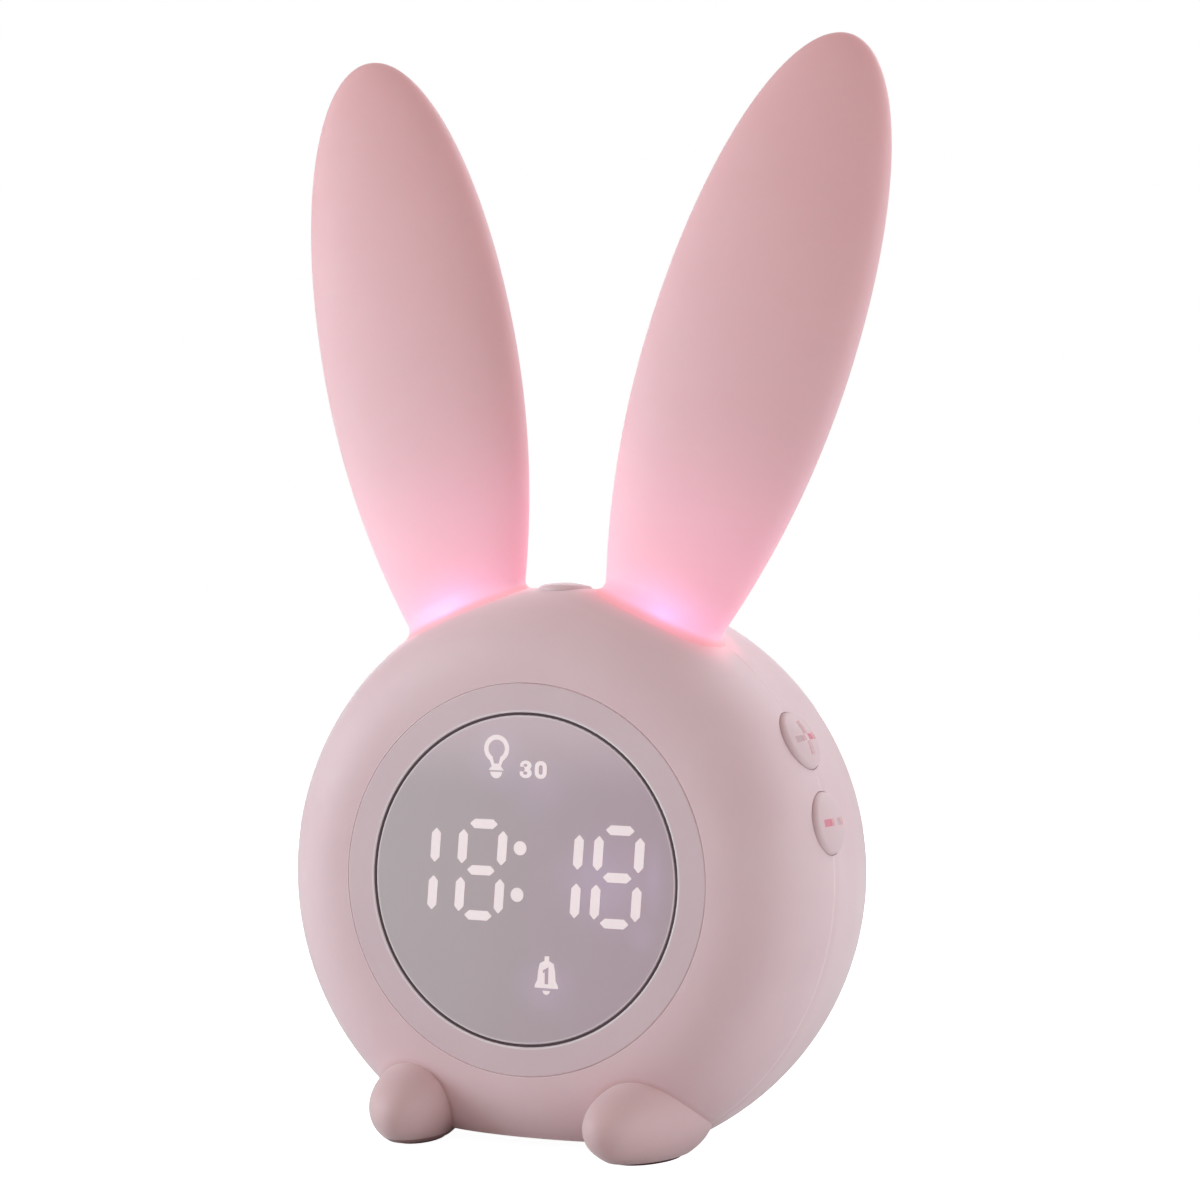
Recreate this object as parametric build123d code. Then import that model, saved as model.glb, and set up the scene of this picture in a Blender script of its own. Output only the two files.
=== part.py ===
from build123d import *
import math
import os

# Bedside alarm clock in the shape of a sitting rabbit, with ears that light up.
# Millimetres. +Z is up, the face looks along -Y, and +X is on the right of someone facing the clock.
# It is drawn about the plane y = 0 where the two shells meet. Then everything is moved so that the
# origin lies on the table under the middle of the clock.

# Head: a round body turned about a level axis, front half and rear half each a superellipse.
head_z = 48.0
head_radius = 52.7
widest_y = 5.5
front_y = -16.16
front_flat_radius = 35.67
front_power = 2.234
rear_depth = 47.7
rear_power = 2.398
wall = 2.0
base_z = 2.2
top_z = 99.6
seam_gap = 0.12
seam_depth = 0.05
ear_seam_depth = 0.6
ear_seam_margin = 4.5
lip_height = 2.4
lip_root_start = 0.3
lip_root_end = 3.0
lip_thickness = 1.0
lip_gap = 0.15
lip_margin = 2.0
top_lip_break = 20.0

# Feet: two long ovals that point slightly inwards.
foot_x = 22.4
foot_y = -9.4
foot_z = 6.6
foot_radius = 7.9
foot_half_length = 17.9
foot_toe = 9.5
foot_sole_z = 0.6
pad_half_width = 4.2
pad_half_length = 8.6
pad_sink = 0.8
rear_pad_y = 25.5
rear_pad_length = 26.0
rear_pad_width = 9.0

# Ears: flat ovals on a straight axis from a root inside the head to the tip. Each has a light board below.
ear_root = (18.87, -1.09, 92.47)
ear_tip = (48.65, 9.38, 199.38)
ear_half_width = 19.88
ear_flatness = 0.342
ear_widest = 0.482
ear_neck_taper = 0.451
ear_neck_power = 2.094
ear_tip_power = 0.972
neck_reach = 1.04
neck_steps = 7
crown_steps = 8
plug_half_width = 9.5
plug_half_thickness = 3.2
plug_end = -2.0
plug_length = 10.0
ear_flange_half_width = 12.0
ear_flange_half_thickness = 5.6
ear_flange_thickness = 1.6
socket_gap = 0.15
ear_room_height = 20.0
ear_board_length = 20.0
ear_board_width = 9.0
ear_board_drop = 4.2
ear_led_size = 5.0
ear_led_height = 1.6
ear_led_pitch = 6.5

# Face: ring, gasket, lens and what is behind them.
ring_radius = 34.65
ring_inner_radius = 29.42
ring_gap = 0.06
ring_edge_radius = 0.25
ledge_y = -13.8
ledge_thickness = 1.8
ledge_radius = 31.5
lens_radius = 29.0
lens_y = -15.94
lens_thickness = 1.6
glyph_depth = 0.5
glyph_proud = 0.03
light_box_radius = 27.2
light_cell_radius = 0.9
display_led_width = 0.9
display_led_height = 0.6
display_board_y = -8.0
board_thickness = 1.6
display_board_size = 60.0
display_post_offset = 26.0

# Display figures, measured from the centre of the face.
figure_slant = 0.05
bar_length = 6.2
bar_width = 1.8
bar_tip = 0.95
bar_corner_radius = 0.2
cross_bar_length = 5.5
cross_bar_width = 1.7
upper_bar_z = 5.3
lower_bar_z = -3.2
cross_bar_heights = (9.45, 1.2, -6.8)
one_places = (-17.5, 10.35)
eight_places = (-8.25, 18.0)
eight_half_width = 3.87
colon_x = -0.9
colon_dots = (5.47, -2.75)
dot_radius = 1.25
bulb_x = -5.6
bulb_z = 22.85
timer_x = 1.6
timer_z = 19.4
bell_x = 5.0
bell_z = -16.5

# Keys: two on the right side, on the seam, one on top between the ears, and two in the pocket at the back.
key_angles = (29.4, 12.6)
key_half_length = 5.6
key_half_width = 4.8
key_proud = 1.3
key_dome_radius = 14.0
key_lean = 9.4
key_rim_radius = 1.1
key_gap = 0.12
key_room_margin = 2.5
key_room_depth = 8.0
key_flange = 0.9
flange_gap = 0.3
flange_thickness = 1.0
side_flange_drop = 2.9
top_flange_drop = 2.3
key_stem_radius = 2.0
sign_length = 6.6
sign_width = 1.3
sign_depth = 0.5
sign_bridge_width = 0.8
top_key_radius = 5.0
top_key_proud = 1.1
round_key_dome_radius = 18.0
rear_key_places = (-13.0, 12.9)
rear_key_radius = 2.2
rear_key_proud = 0.8
rear_key_rim_radius = 0.5
rear_key_room_depth = 0.8
switch_size = 6.2
switch_height = 3.4
switch_drop = 6.1
switch_well_depth = 2.3
rear_switch_drop = 4.1
rear_switch_height = 3.6
plunger_drop = 5.3
plunger_length = 2.4
plunger_radius = 1.6
rear_plunger_radius = 1.2
plunger_gap = 0.06
side_board_length = 25.0
side_board_width = 12.0
top_board_length = 13.0
small_board_thickness = 1.0

# Chassis: a plate behind the seam that the case screws clamp.
chassis_y = 4.0
chassis_thickness = 2.0
chassis_radius = 44.0
chassis_bottom = 24.0
shelf_thickness = 1.5
window_width = 34.0
window_low_z = 38.0
window_high_z = 66.0
case_screw_places = ((0.0, 82.0), (39.5, 34.5), (-39.5, 34.5))
boss_radius = 3.5
column_radius = 4.7
column_end = 12.0
post_radius = 2.6
screw_radius = 1.45
screw_length = 18.0
screw_head_radius = 2.8
screw_head_height = 2.0
small_screw_radius = 0.95
small_screw_length = 5.0
small_head_radius = 1.8
small_head_height = 1.2
screw_clearance = 0.05
pilot_depth = 4.3

# Main board, battery, loudspeaker and port board.
main_board_y = 10.0
main_board_width = 56.0
main_board_height = 40.0
main_board_z = 53.0
main_post_x = 24.0
main_post_z = 16.0
battery_socket = (17.5, 38.0)
port_socket = (0.0, 38.0)
speaker_socket = (4.0, 68.0)
socket_width = 7.0
socket_height = 5.0
socket_depth = 3.2
battery_y = 18.0
battery_z = 20.0
battery_radius = 9.2
battery_length = 65.0
saddle_x = 22.0
saddle_thickness = 3.0
strap_width = 12.0
strap_thickness = 1.5
strap_boss_offset = 13.0
speaker_z = 58.0
speaker_radius = 14.0
speaker_front_y = 46.4
speaker_depth = 8.0
speaker_rim = 1.8
dust_cap_radius = 4.2
gasket_thickness = 0.8
clamp_thickness = 1.4
grille_pitch = 3.4
grille_hole_radius = 0.9
pocket_z = 30.0
pocket_width = 34.0
pocket_height = 10.0
pocket_y = 48.0
port_board_z = 27.4
port_board_width = 34.0
port_board_depth = 13.4
port_screw_x = 13.0
port_screw_y = 37.6
port_post_height = 3.0
port_gap = 0.3
usb_x = -4.2
usb_z = 29.7
usb_width = 7.5
usb_height = 2.6
usb_depth = 6.0
slider_x = 4.85
slider_travel = 2.0
slider_width = 4.0
slider_height = 2.2
slider_proud = 1.2
slider_gap = 0.25
switch_half_length = 4.6
lead_radius = 0.6

foot_front_y = foot_y - math.hypot(foot_half_length * math.cos(math.radians(foot_toe)),
                                   foot_radius * math.sin(math.radians(foot_toe)))
back_y = widest_y + rear_depth
middle_y = (foot_front_y + back_y) / 2
key_angle = sum(key_angles) / 2
seam_radius = head_radius - 0.26
shelf_drop = switch_drop + switch_height + small_board_thickness
lens_back_y = lens_y + lens_thickness
pilot_radius = small_screw_radius + screw_clearance
screw_hole_radius = small_screw_radius + 0.2
clamp_x = speaker_radius + 3.6
cone_y = speaker_front_y - 1.2
port_board_y = pocket_y - wall - 0.4
far = 120.0


def block(low, high):
    size = [b - a for a, b in zip(low, high)]
    centre = [(a + b) / 2 for a, b in zip(low, high)]
    return Pos(*centre) * Box(*size)


def slab(low_y, high_y):
    # All of the space between two planes that face the front.
    return block((-far, low_y, -far), (far, high_y, far))


def disc(radius, low_y, high_y, x=0.0, z=head_z):
    # A disc or rod whose axis is level and runs from front to back.
    return Pos(x, (low_y + high_y) / 2, z) * Rot(90, 0, 0) * Cylinder(radius, high_y - low_y)


def tube(outer, inner, low_y, high_y, x=0.0, z=head_z):
    return disc(outer, low_y, high_y, x, z) - disc(inner, low_y - 1, high_y + 1, x, z)


def both_sides(part):
    return part + mirror(part, about=Plane.YZ)


def mirrored(part):
    return mirror(part, about=Plane.YZ)


def group(parts):
    return Compound([solid for part in parts for solid in part.solids()])


def both_sides_apart(part):
    # The same as two solids that stay separate.
    return group([part, mirrored(part)])


def half_turn(power, steps=9):
    # Points of a quarter superellipse with unit axes, from the pole to the widest place.
    angles = [math.pi / 2 * (1 - i / steps) for i in range(steps + 1)]
    return [(max(math.cos(a), 0.0) ** (2 / power), math.sin(a) ** (2 / power)) for a in angles]


# ---- head shells

def head(shrink=0.0):
    # The whole head as one solid, its surface moved in by shrink.
    radial = head_radius - front_flat_radius - shrink
    forward = widest_y - front_y - shrink
    backward = rear_depth - shrink
    wide = head_radius - shrink
    front = [(front_flat_radius + radial * a, widest_y - forward * b) for a, b in half_turn(front_power)]
    rear = [(wide * a, widest_y + backward * b) for a, b in half_turn(rear_power)]
    rear.reverse()
    nose = (0, widest_y - forward)
    outline = [
        Line(nose, front[0]),
        Spline(front, tangents=[(1, 0), (0, 1)]),
        Spline(rear, tangents=[(0, 1), (-1, 0)]),
        Line(rear[-1], nose),
    ]
    body = Pos(0, 0, head_z) * revolve(make_face(outline), Axis.Y)
    return body & block((-far, -far, base_z + shrink), (far, far, top_z - shrink))


def foot():
    arc = EllipticalCenterArc((0, 0), foot_half_length, foot_radius, 0, arc_size=180)
    oval = revolve(make_face([arc, Line(arc @ 1, arc @ 0)]), Axis.X)
    placed = Pos(foot_x, foot_y, foot_z) * Rot(0, 0, 90 - foot_toe) * oval
    return placed & block((0, -far, foot_sole_z), (far, far, far))


def seam_groove():
    # Shallow all round, and deeper beside the ears.
    edge = slab(-seam_gap / 2, seam_gap / 2)
    return (edge - head(seam_depth)) + ((edge - head(ear_seam_depth)) & ear_room(ear_seam_margin))


def front_foot_pad():
    oval = extrude(Ellipse(pad_half_width, pad_half_length), foot_sole_z + pad_sink)
    return Pos(foot_x, foot_y, 0) * Rot(0, 0, -foot_toe) * oval


def rear_pad():
    shape = SlotOverall(rear_pad_length, rear_pad_width)
    return Pos(0, rear_pad_y, 0) * extrude(shape, base_z + pad_sink)


def shell_body():
    # Both shells in one piece, before they are parted and bored.
    body = head() + both_sides(foot())
    return body - both_sides(front_foot_pad()) - rear_pad()


def ear_plane():
    axis = [b - a for a, b in zip(ear_root, ear_tip)]
    return Plane(origin=ear_root, x_dir=(1, 0, 0), z_dir=tuple(axis))


def ear_room(margin):
    # Space round the roots of both ears, wider than an ear's flange by margin.
    width = 2 * (ear_flange_half_width + margin)
    depth = 2 * (ear_flange_half_thickness + margin)
    return both_sides(ear_plane() * Box(width, depth, ear_room_height))


def ear_socket():
    hole = Ellipse(plug_half_width + socket_gap, plug_half_thickness + socket_gap)
    return ear_plane() * Pos(0, 0, 2 * plug_end) * extrude(hole, ear_room_height)


def key_plane(angle):
    # On the seam at an angle above the level of the face centre; local X runs up along the seam.
    a = math.radians(angle)
    origin = (seam_radius * math.cos(a), 0, head_z + seam_radius * math.sin(a))
    return Plane(origin=origin, x_dir=(-math.sin(a), 0, math.cos(a)), z_dir=(math.cos(a), 0, math.sin(a)))


def top_plane():
    return Plane(origin=(0, 0, top_z), x_dir=(1, 0, 0), z_dir=(0, 0, 1))


def rear_key_plane(x):
    return Plane(origin=(x, pocket_y, pocket_z), x_dir=(1, 0, 0), z_dir=(0, 1, 0))


def key_hole(half_length, half_width):
    hole = extrude(Ellipse(half_length + key_gap, half_width + key_gap), 2 * key_room_depth)
    return Pos(0, 0, -key_room_depth) * hole


def key_room(angle):
    # Space that the locking lip leaves free for a key flange.
    length = 2 * (key_half_length + key_room_margin)
    width = 2 * (key_half_width + key_room_margin)
    room = Box(length, width, key_room_depth)
    return key_plane(angle) * Pos(0, 0, -key_room_depth / 2) * room


def key_openings():
    holes = [key_plane(angle) * key_hole(key_half_length, key_half_width) for angle in key_angles]
    holes += [rear_key_plane(x) * key_hole(rear_key_radius, rear_key_radius) for x in rear_key_places]
    return holes + [top_plane() * key_hole(top_key_radius, top_key_radius)]


def rear_key_room(x):
    # Space behind the floor of the pocket in which the flange of a rear key moves.
    drop = wall + flange_gap + flange_thickness + rear_key_room_depth
    return disc(rear_key_radius + key_flange + 0.4, pocket_y - drop, pocket_y - wall, x, pocket_z)


def display_post_places():
    corners = (-display_post_offset, display_post_offset)
    return [(x, head_z + z) for x in corners for z in corners]


def front_shell():
    shell = (shell_body() - head(wall)) & slab(-far, 0)
    shell -= disc(ledge_radius, front_y - 1, 0)
    shell += tube(front_flat_radius + 1, ledge_radius, ledge_y, ledge_y + ledge_thickness)
    inside = (head(wall / 2) & slab(-far, chassis_y)) - disc(ledge_radius, front_y - 1, chassis_y + 1)
    for x, z in case_screw_places:
        shell += disc(boss_radius, front_y + 1, chassis_y, x, z) & inside
        shell -= disc(screw_radius + screw_clearance, column_end - screw_length, chassis_y + 1, x, z)
    for x, z in display_post_places():
        shell += disc(post_radius, front_y + 1, display_board_y, x, z) & inside
        shell -= disc(pilot_radius, display_board_y - pilot_depth, display_board_y + 1, x, z)
    shell -= disc(ring_radius + ring_gap, front_y - 1, ledge_y)
    shell -= seam_groove()
    shell -= both_sides(ear_socket())
    for hole in key_openings():
        shell -= hole
    return shell


def grille_holes():
    holes = [(0.0, speaker_z)]
    for ring in (1, 2, 3):
        for i in range(6 * ring):
            a = 2 * math.pi * i / (6 * ring)
            holes.append((ring * grille_pitch * math.cos(a), speaker_z + ring * grille_pitch * math.sin(a)))
    return holes


def locking_lip():
    # Tongue round the rear shell that centres it in the front shell.
    outer = head(wall + lip_gap)
    inner = head(wall + lip_gap + lip_thickness)
    tongue = (outer - inner) & slab(-lip_height, lip_root_end)
    root = (head(wall / 2) - inner) & slab(lip_root_start, lip_root_end)
    lip = tongue + root - ear_room(lip_margin)
    for angle in key_angles:
        lip -= key_room(angle)
    return lip - Pos(0, 0, top_z) * Box(top_lip_break, top_lip_break, top_lip_break)


def port_pocket():
    return block((-pocket_width / 2, pocket_y, pocket_z - pocket_height / 2),
                 (pocket_width / 2, far, pocket_z + pocket_height / 2))


def pocket_walls():
    side = pocket_width / 2 + wall
    rise = pocket_height / 2 + wall
    return head() & block((-side, pocket_y - wall, pocket_z - rise), (side, far, pocket_z + rise))


def pocket_openings():
    # Holes in the floor of the pocket for the charging port and the power slider.
    mouth = RectangleRounded(usb_width + 2 * port_gap, usb_height + 2 * port_gap, 0.9)
    usb = extrude(mouth, 2 * wall, both=True)
    half_slot = (slider_width + slider_travel) / 2 + slider_gap
    half_height = slider_height / 2 + slider_gap
    slot = block((slider_x - half_slot, pocket_y - wall - 1, pocket_z - half_height),
                 (slider_x + half_slot, pocket_y + 1, pocket_z + half_height))
    return slot + Pos(usb_x, pocket_y, usb_z) * Rot(90, 0, 0) * usb


def speaker_seat():
    low_y = speaker_front_y - speaker_depth
    seat = tube(speaker_radius + 2.2, speaker_radius + 0.2, low_y, back_y, 0, speaker_z)
    rim_y = speaker_front_y + gasket_thickness
    seat += tube(speaker_radius + 1, speaker_radius - 2, rim_y, back_y, 0, speaker_z)
    for x in (-clamp_x, clamp_x):
        seat += disc(post_radius, low_y, back_y, x, speaker_z)
        seat -= disc(pilot_radius, low_y - 1, low_y + pilot_depth, x, speaker_z)
    return seat


def battery_cradle():
    # Two saddles for the cell and a post for each screw of its strap.
    cradle = Part()
    low_y = battery_y - battery_radius - 2
    high_y = battery_y + battery_radius + 2
    for x in (-saddle_x, saddle_x):
        cradle += block((x - saddle_thickness / 2, low_y, 0), (x + saddle_thickness / 2, high_y, battery_z))
    for y in (battery_y - strap_boss_offset, battery_y + strap_boss_offset):
        cradle += Pos(0, y, 0) * extrude(Circle(post_radius), battery_z)
        cradle -= Pos(0, y, battery_z - pilot_depth) * extrude(Circle(pilot_radius), pilot_depth + 1)
    cell_room = Cylinder(battery_radius + 0.1, battery_length + 2)
    return cradle - Pos(0, battery_y, battery_z) * Rot(0, 90, 0) * cell_room


def port_posts():
    posts = Part()
    for x in (-port_screw_x, port_screw_x):
        posts += block((x - 2, port_screw_y - post_radius, port_board_z - port_post_height),
                       (x + 2, pocket_y - wall / 2, port_board_z))
        pilot = extrude(Circle(pilot_radius), pilot_depth + 1)
        posts -= Pos(x, port_screw_y, port_board_z - pilot_depth) * pilot
    for x in rear_key_places:
        posts -= rear_key_room(x)
    return posts


def rear_shell():
    back = slab(0, far)
    shell = (shell_body() - head(wall)) & back
    shell += locking_lip()
    inside = head(wall / 2) & back
    for x, z in case_screw_places:
        shell += disc(column_radius, chassis_y + chassis_thickness, back_y, x, z) & inside
    shell += (speaker_seat() + battery_cradle()) & inside
    shell += pocket_walls() + port_posts()
    shell -= port_pocket()
    shell -= pocket_openings()
    for x, z in case_screw_places:
        shell -= disc(screw_head_radius + 0.6, column_end, far, x, z)
        shell -= disc(screw_radius + 0.25, chassis_y, column_end + 1, x, z)
    for x, z in grille_holes():
        shell -= disc(grille_hole_radius, speaker_front_y, far, x, z)
    shell -= seam_groove()
    shell -= both_sides(ear_socket())
    for hole in key_openings():
        shell -= hole
    return shell


# ---- ears

def ear_neck(widest):
    # Half widths of the ear from below its root up to the widest place.
    points = []
    for i in range(neck_steps + 1):
        below = neck_reach * (1 - i / neck_steps)
        width = ear_half_width * (1 - ear_neck_taper * below ** ear_neck_power)
        points.append((width, widest * (1 - below)))
    return points


def ear_crown(widest, length):
    # Half widths of the ear from the widest place up to the tip.
    points = []
    for i in range(crown_steps + 1):
        turn = math.pi / 2 * i / crown_steps
        width = ear_half_width * max(math.cos(turn), 0.0) ** ear_tip_power
        points.append((width, widest + (length - widest) * math.sin(turn)))
    return points


def ear():
    length = math.dist(ear_root, ear_tip)
    widest = ear_widest * length
    neck = ear_neck(widest)
    crown = ear_crown(widest, length)
    foot_of_ear = (0, neck[0][1])
    outline = [
        Line(foot_of_ear, neck[0]),
        Spline(neck, tangents=[(0.35, 1), (0, 1)], tangent_scalars=[1, 1]),
        Spline(crown, tangents=[(0, 1), (-1, 0)]),
        Line(crown[-1], foot_of_ear),
    ]
    round_ear = revolve(Plane.XZ * make_face(outline), Axis.Z)
    flat_ear = scale(round_ear, by=(1, ear_flatness, 1))
    visible = ear_plane() * flat_ear - head()
    inner_end = ear_plane() * Pos(0, 0, plug_end)
    plug = inner_end * extrude(Ellipse(plug_half_width, plug_half_thickness), plug_length)
    flange_outline = Ellipse(ear_flange_half_width, ear_flange_half_thickness)
    flange = inner_end * extrude(flange_outline, ear_flange_thickness)
    return visible + plug + (flange & head(wall + 0.1))


def ear_light_board():
    plate = Box(ear_board_length, ear_board_width, small_board_thickness)
    return ear_plane() * Pos(0, 0, -ear_board_drop - small_board_thickness / 2) * plate


def ear_leds():
    size = ear_led_size
    rise = ear_led_height / 2 - ear_board_drop
    chips = [Pos(x, 0, rise) * Box(size, size, ear_led_height) for x in (-ear_led_pitch, 0, ear_led_pitch)]
    return group([ear_plane() * chip for chip in chips])


# ---- face

def face_ring():
    ring = tube(ring_radius, ring_inner_radius, front_y, ledge_y)
    edges = ring.edges().filter_by(GeomType.CIRCLE).sort_by(Axis.Y)[:2]
    ring = fillet(edges, ring_edge_radius)
    seat_y = ledge_y + ledge_thickness - 0.4
    return ring + tube(ledge_radius - 0.2, light_box_radius + 0.2, lens_back_y, seat_y)


def lens_gasket():
    return tube(ring_inner_radius - 0.03, lens_radius + 0.03, lens_y - 0.05, lens_back_y)


def on_face(shape, low_y, high_y):
    # A flat figure, drawn as seen from the front, as a slab between two depths.
    return Pos(0, high_y, head_z) * Rot(90, 0, 0) * extrude(shape, high_y - low_y)


def slanted(points):
    bar = make_face(Polyline([(x + z * figure_slant, z) for x, z in points], close=True))
    return fillet(bar.vertices(), bar_corner_radius)


def upright_bar(x, z):
    half = bar_length / 2
    side = bar_width / 2
    return slanted([(x - side, z - half + bar_tip), (x, z - half), (x + side, z - half + bar_tip),
                    (x + side, z + half - bar_tip), (x, z + half), (x - side, z + half - bar_tip)])


def cross_bar(x, z):
    half = cross_bar_length / 2
    side = cross_bar_width / 2
    return slanted([(x - half, z), (x - half + bar_tip, z - side), (x + half - bar_tip, z - side),
                    (x + half, z), (x + half - bar_tip, z + side), (x - half + bar_tip, z + side)])


def time_figures():
    figures = []
    for x in one_places:
        figures += [upright_bar(x, z) for z in (upper_bar_z, lower_bar_z)]
    for x in eight_places:
        for side in (-eight_half_width, eight_half_width):
            figures += [upright_bar(x + side, z) for z in (upper_bar_z, lower_bar_z)]
        figures += [cross_bar(x, z) for z in cross_bar_heights]
    figures += [Pos(colon_x + z * figure_slant, z) * Circle(dot_radius) for z in colon_dots]
    return figures


def timer_figures():
    # A lamp bulb in outline, and the minutes until the ears go dark.
    glass = Circle(2.45) + Pos(0, -2.35) * Trapezoid(3.0, 1.5, 68, rotation=180)
    glass -= Circle(1.6) + Pos(0, -1.9) * Trapezoid(1.7, 1.5, 75, rotation=180)
    collar = Pos(0, -3.45) * Trapezoid(3.0, 0.75, 50)
    cap = Pos(0, -4.1) * (Circle(1.15) & Pos(0, -1) * Rectangle(3, 2))
    bulb = [Pos(bulb_x, bulb_z) * shape for shape in (glass, collar, cap)]
    zero = Pos(1.45, 0) * (RectangleRounded(2.3, 3.1, 1.05) - RectangleRounded(0.75, 1.7, 0.36))
    three = Pos(0, 0.68) * Ellipse(1.1, 0.87) + Pos(0, -0.64) * Ellipse(1.18, 0.91)
    three -= Pos(-0.08, 0.7) * Ellipse(0.38, 0.27) + Pos(-0.08, -0.66) * Ellipse(0.42, 0.3)
    three -= Pos(-0.85, 0.02) * Rectangle(1.1, 0.84) + Pos(-0.45, 0.02) * Rectangle(0.5, 0.3)
    three = Pos(-1.45, 0) * three
    return bulb + [Pos(timer_x, timer_z) * shape for shape in (three, zero)]


def alarm_figures():
    # A bell with the number of the alarm cut out of it.
    half = [(0.45, 3.3), (0.45, 2.5), (1.35, 2.0), (1.65, 0.6), (1.75, -0.9), (2.25, -1.9), (2.25, -2.3)]
    outline = half + [(-x, z) for x, z in reversed(half)]
    bell = make_face(Polyline(outline, close=True))
    one = [(0.35, 1.4), (0.35, -1.6), (-0.35, -1.6), (-0.35, 0.5), (-0.75, 0.3), (-0.75, 0.8)]
    bell -= make_face(Polyline(one, close=True))
    clapper = Pos(0, -2.75) * (Circle(0.7) & Pos(0, -1) * Rectangle(3, 2))
    return [Pos(bell_x, bell_z) * shape for shape in (bell, clapper)]


def inlay(figures):
    return group([on_face(f, lens_y - glyph_proud, lens_y + glyph_depth) for f in figures])


def display_lens():
    lens = disc(lens_radius, lens_y, lens_back_y)
    rim = lens.edges().filter_by(GeomType.CIRCLE).sort_by(Axis.Y)[:1]
    lens = fillet(rim, 0.2)
    for figure in time_figures() + timer_figures() + alarm_figures():
        lens -= on_face(figure, lens_y - 1, lens_y + glyph_depth)
    return lens


def cell_places():
    # One light cell behind each bar, dot and icon.
    places = [(x + z * figure_slant, z) for x in one_places for z in (upper_bar_z, lower_bar_z)]
    for x in eight_places:
        for side in (-eight_half_width, eight_half_width):
            places += [(x + side + z * figure_slant, z) for z in (upper_bar_z, lower_bar_z)]
        places += [(x + z * figure_slant, z) for z in cross_bar_heights]
    places += [(colon_x + z * figure_slant, z) for z in colon_dots]
    return places + [(bulb_x, bulb_z - 1), (timer_x, timer_z), (bell_x, bell_z)]


def light_box():
    box = disc(light_box_radius, lens_back_y + 0.05, display_board_y)
    for x, z in cell_places():
        box -= disc(light_cell_radius, lens_back_y - 1, display_board_y + 1, x, head_z + z)
    return box


def display_leds():
    chips = []
    for x, z in cell_places():
        place = Pos(x, display_board_y - display_led_height / 2, head_z + z)
        chips.append(place * Box(display_led_width, display_led_height, display_led_width))
    return group(chips)


def display_board():
    corners = RectangleRounded(display_board_size, display_board_size, 8)
    back_of_board = display_board_y + board_thickness
    board = Pos(0, back_of_board, head_z) * Rot(90, 0, 0) * extrude(corners, board_thickness)
    for x, z in display_post_places():
        board -= disc(screw_hole_radius, display_board_y - 1, back_of_board + 1, x, z)
    low_z = head_z - display_board_size / 2 + 6
    return board + block((-5, display_board_y + 1, low_z), (5, back_of_board + 1.5, low_z + 4))


# ---- keys and their switches

def key_blank(half_length, half_width, dome, flange_drop, rim_radius):
    # A key without its flange, with local Z pointing out of the head and the dome as its outer face.
    key = extrude(Ellipse(half_length, half_width), 2 * flange_drop)
    key = Pos(0, 0, -flange_drop) * key & dome
    round_edges = [edge for edge in key.edges() if edge.length > 4 * half_width]
    rim = max(round_edges, key=lambda edge: edge.center().Z)
    return fillet(rim, rim_radius)


def key_flange_disc(half_length, half_width, flange_drop):
    flange = extrude(Ellipse(half_length + key_flange, half_width + key_flange), flange_thickness)
    return Pos(0, 0, -flange_drop - flange_thickness) * flange


def key_stem(flange_drop):
    # Rod from inside the flange down to the plunger.
    top = flange_drop + flange_thickness / 2
    length = plunger_drop - top
    return Pos(0, 0, -plunger_drop) * extrude(Circle(key_stem_radius), length)


def round_key_dome(proud):
    return Pos(0, 0, proud - round_key_dome_radius) * Sphere(round_key_dome_radius)


def side_key_dome(depth=0.0):
    # The outer face of a side key, or a surface at a depth below it. It leans forward with the head.
    lean = math.radians(key_lean)
    across = -key_dome_radius * math.sin(lean)
    return Pos(0, across, key_proud - key_dome_radius * math.cos(lean)) * Sphere(key_dome_radius - depth)


def key_sign(crossed):
    # The sunk sign: a bar, or two bars that cross, with a bridge left in the middle.
    sign = Box(sign_width, sign_length, key_dome_radius)
    if crossed:
        sign += Box(sign_length, sign_width, key_dome_radius)
    sign -= Box(sign_width, sign_bridge_width, key_dome_radius)
    return sign - side_key_dome(sign_depth)


def side_key(angle, crossed):
    key = key_blank(key_half_length, key_half_width, side_key_dome(), side_flange_drop, key_rim_radius)
    key -= key_sign(crossed)
    plane = key_plane(angle)
    flange = plane * key_flange_disc(key_half_length, key_half_width, side_flange_drop)
    stem = side_plane_part(angle, key_stem(side_flange_drop))
    return plane * key + (flange & head(wall + flange_gap)) + stem


def side_plane_part(angle, part):
    # Switch parts stand square to the side board, which lies between the two keys.
    across = seam_radius * math.sin(math.radians(angle - key_angle))
    return key_plane(key_angle) * Pos(across, 0, 0) * part


def plunger(drop, radius):
    return Pos(0, 0, -drop - plunger_length) * extrude(Circle(radius), plunger_length)


def switch_body(drop, radius, low_y, high_y):
    # A tact switch whose face lies drop below the local plane, with a well for a plunger of this radius.
    body = block((-switch_size / 2, low_y, -drop - switch_height), (switch_size / 2, high_y, -drop))
    well = extrude(Circle(radius + plunger_gap), switch_well_depth + 1)
    return body - Pos(0, 0, -drop - switch_well_depth) * well


def seam_switch():
    return switch_body(switch_drop, plunger_radius, -switch_size / 2, switch_size / 2)


def side_board():
    plate = Box(side_board_length, side_board_width, small_board_thickness)
    return key_plane(key_angle) * Pos(0, 0, small_board_thickness / 2 - shelf_drop) * plate


def side_switches():
    return group([side_plane_part(angle, seam_switch()) for angle in key_angles])


def top_key():
    dome = round_key_dome(top_key_proud)
    key = key_blank(top_key_radius, top_key_radius, dome, top_flange_drop, key_rim_radius)
    flange = top_plane() * key_flange_disc(top_key_radius, top_key_radius, top_flange_drop)
    return top_plane() * (key + key_stem(top_flange_drop)) + (flange & head(wall + flange_gap))


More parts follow.
